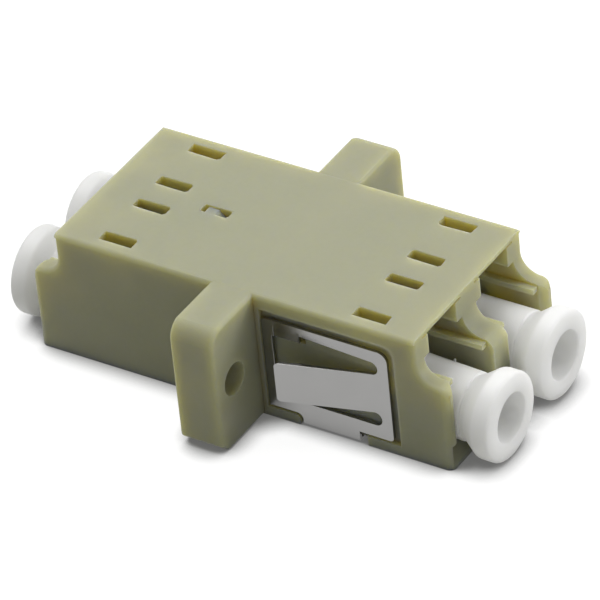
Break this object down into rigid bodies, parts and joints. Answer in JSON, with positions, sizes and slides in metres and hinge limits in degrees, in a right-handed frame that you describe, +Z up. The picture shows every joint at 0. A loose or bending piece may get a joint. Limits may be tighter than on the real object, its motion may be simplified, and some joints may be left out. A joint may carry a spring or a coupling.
{
  "type": "lc fibre adapter",
  "caption": "Duplex LC fibre adapter with screw flange, spring panel clip and dust plugs in its ports.",
  "frame": {"origin": "middle of the body's underside, below the optical plane", "axes": "+X along the fibres towards the end with the panel clip, +Y across the two channels, +Z up"},
  "size_m": [0.0358, 0.0226, 0.0092],
  "materials": {
    "moulding": "satin moulded, olive beige",
    "carrier_moulding": "satin moulded, olive beige",
    "sleeve_ceramic": "polished zirconia",
    "spring_steel": "rolled stainless sheet",
    "plug_plastic": "soft white polyethylene"
  },
  "bodies": {
    "adapter": {"housing": "moulding", "sleeve_carrier": "carrier_moulding", "split_sleeve_left": "sleeve_ceramic", "split_sleeve_right": "sleeve_ceramic", "panel_clip": "spring_steel"},
    "near_left_plug": {"dust_plug_near_left": "plug_plastic"},
    "near_right_plug": {"dust_plug_near_right": "plug_plastic"},
    "far_left_plug": {"dust_plug_far_left": "plug_plastic"},
    "far_right_plug": {"dust_plug_far_right": "plug_plastic"}
  },
  "joints": [
    {"name": "near_left_pull", "type": "slide", "parent": "adapter", "child": "near_left_plug", "axis": [1, 0, 0], "range_m": [0, 0.016]},
    {"name": "near_right_pull", "type": "slide", "parent": "adapter", "child": "near_right_plug", "axis": [1, 0, 0], "range_m": [0, 0.016]},
    {"name": "far_left_pull", "type": "slide", "parent": "adapter", "child": "far_left_plug", "axis": [-1, 0, 0], "range_m": [0, 0.016]},
    {"name": "far_right_pull", "type": "slide", "parent": "adapter", "child": "far_right_plug", "axis": [-1, 0, 0], "range_m": [0, 0.016]}
  ]
}
